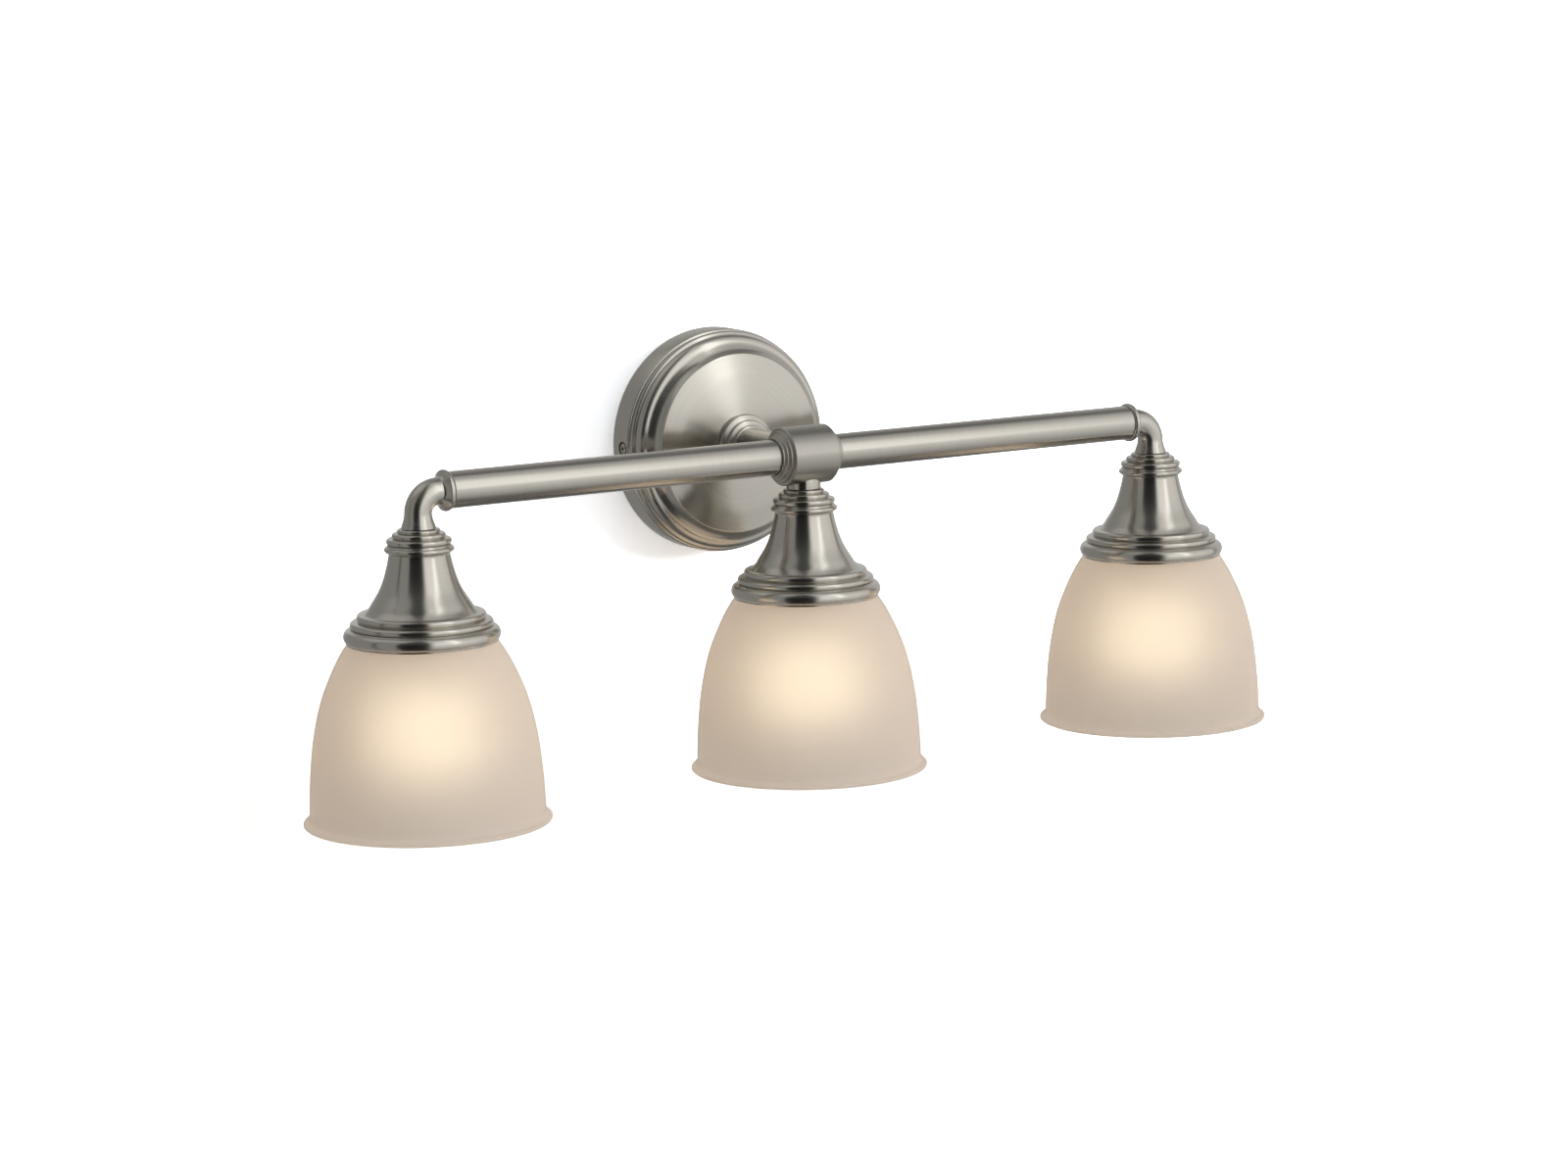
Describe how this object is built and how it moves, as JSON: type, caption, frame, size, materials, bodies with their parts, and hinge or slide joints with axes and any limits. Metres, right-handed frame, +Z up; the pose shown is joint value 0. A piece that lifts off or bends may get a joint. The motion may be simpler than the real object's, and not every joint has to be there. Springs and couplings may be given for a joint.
{
  "type": "vanity light bar",
  "caption": "Wall-mounted vanity light bar: round canopy, short arm, horizontal tube and bell-capped frosted glass shades hanging from it over screw-in bulbs.",
  "frame": {"origin": "centre of the mounting plane on the wall, behind the middle of the canopy", "axes": "+X along the bar, +Y into the wall, +Z up; the light stands out towards -Y"},
  "size_m": [0.586, 0.1595, 0.2308],
  "materials": {
    "brushed_nickel": "brushed satin nickel plate, lathe and length-wise brushing",
    "zinc_plate": "zinc plated steel",
    "green_screw": "green dyed steel",
    "copper_wire": "bare copper",
    "wire_nut_red": "moulded plastic",
    "wire_nut_white": "moulded plastic",
    "lead_sleeve": "woven sleeve over two conductors",
    "socket_plastic": "off-white heat-proof moulding",
    "socket_brass": "plain brass",
    "frosted_glass": "etched white glass, satin",
    "bulb_frost": "inside-frosted bulb glass",
    "bulb_base_metal": "plain spun metal"
  },
  "bodies": {
    "root": {"canopy": "brushed_nickel", "side_screw_left": "brushed_nickel", "side_screw_right": "brushed_nickel", "arm_collar": "brushed_nickel", "arm": "brushed_nickel", "hub": "brushed_nickel", "bar_tube_left": "brushed_nickel", "bar_tube_right": "brushed_nickel", "elbow_left": "brushed_nickel", "elbow_right": "brushed_nickel", "centre_stem": "brushed_nickel", "stepped_collar_left": "brushed_nickel", "stepped_collar_centre": "brushed_nickel", "stepped_collar_right": "brushed_nickel", "bell_cap_left": "brushed_nickel", "bell_cap_centre": "brushed_nickel", "bell_cap_right": "brushed_nickel", "mounting_strap": "zinc_plate", "arm_nipple": "zinc_plate", "arm_locknut": "zinc_plate", "nipple_left": "zinc_plate", "nipple_centre": "zinc_plate", "nipple_right": "zinc_plate", "locknut_left": "zinc_plate", "locknut_centre": "zinc_plate", "locknut_right": "zinc_plate", "ground_screw": "green_screw", "ground_wire": "copper_wire", "wire_nut_hot": "wire_nut_red", "wire_nut_neutral": "wire_nut_white", "leads_left": "lead_sleeve", "leads_centre": "lead_sleeve", "leads_right": "lead_sleeve", "socket_left": "socket_plastic", "socket_centre": "socket_plastic", "socket_right": "socket_plastic", "retaining_ring_left": "socket_plastic", "retaining_ring_centre": "socket_plastic", "retaining_ring_right": "socket_plastic", "screw_shell_left": "socket_brass", "screw_shell_centre": "socket_brass", "screw_shell_right": "socket_brass", "centre_contact_left": "socket_brass", "centre_contact_centre": "socket_brass", "centre_contact_right": "socket_brass", "glass_shade_left": "frosted_glass", "glass_shade_centre": "frosted_glass", "glass_shade_right": "frosted_glass"},
    "bulb_left": {"bulb_glass_left": "bulb_frost", "bulb_base_left": "bulb_base_metal"},
    "bulb_centre": {"bulb_glass_centre": "bulb_frost", "bulb_base_centre": "bulb_base_metal"},
    "bulb_right": {"bulb_glass_right": "bulb_frost", "bulb_base_right": "bulb_base_metal"}
  },
  "joints": [
    {"name": "bulb_left_out", "type": "slide", "parent": "root", "child": "bulb_left", "axis": [0, 0, -1], "range_m": [0, 0.12]},
    {"name": "bulb_centre_out", "type": "slide", "parent": "root", "child": "bulb_centre", "axis": [0, 0, -1], "range_m": [0, 0.12]},
    {"name": "bulb_right_out", "type": "slide", "parent": "root", "child": "bulb_right", "axis": [0, 0, -1], "range_m": [0, 0.12]}
  ]
}
